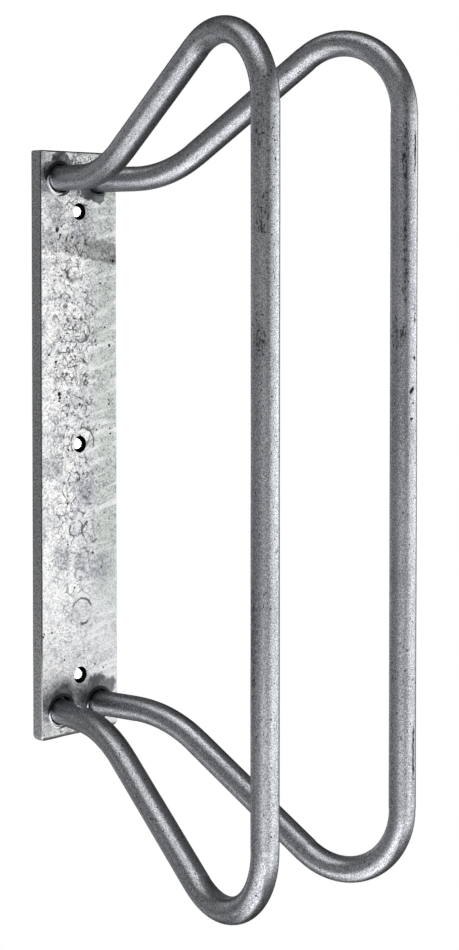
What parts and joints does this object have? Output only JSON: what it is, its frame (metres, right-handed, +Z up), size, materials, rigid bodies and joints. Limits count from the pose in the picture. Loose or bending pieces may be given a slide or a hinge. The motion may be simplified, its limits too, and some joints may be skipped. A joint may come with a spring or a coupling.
{
  "type": "wall-mounted bicycle wheel holder",
  "caption": "Upright steel wall plate with a pair of bent round-bar loops that flare apart and hold a bicycle wheel in the slot between them.",
  "frame": {"origin": "centre of the mounting plate's wall face", "axes": "+Y into the wall, -Y out of it towards the loops' outer bars, +Z up along the plate, +X to the right as seen facing the wall"},
  "size_m": [0.0828, 0.1506, 0.3198],
  "materials": {
    "zinc_plate": "hot-dip galvanised, semi-bright",
    "zinc_bar": "hot-dip galvanised, satin",
    "zinc_weld": "hot-dip galvanised over ground weld, matt"
  },
  "bodies": {
    "root": {"mounting_plate": "zinc_plate", "left_loop": "zinc_bar", "right_loop": "zinc_bar", "weld_upper_left": "zinc_weld", "weld_upper_right": "zinc_weld", "weld_lower_left": "zinc_weld", "weld_lower_right": "zinc_weld"}
  },
  "joints": []
}
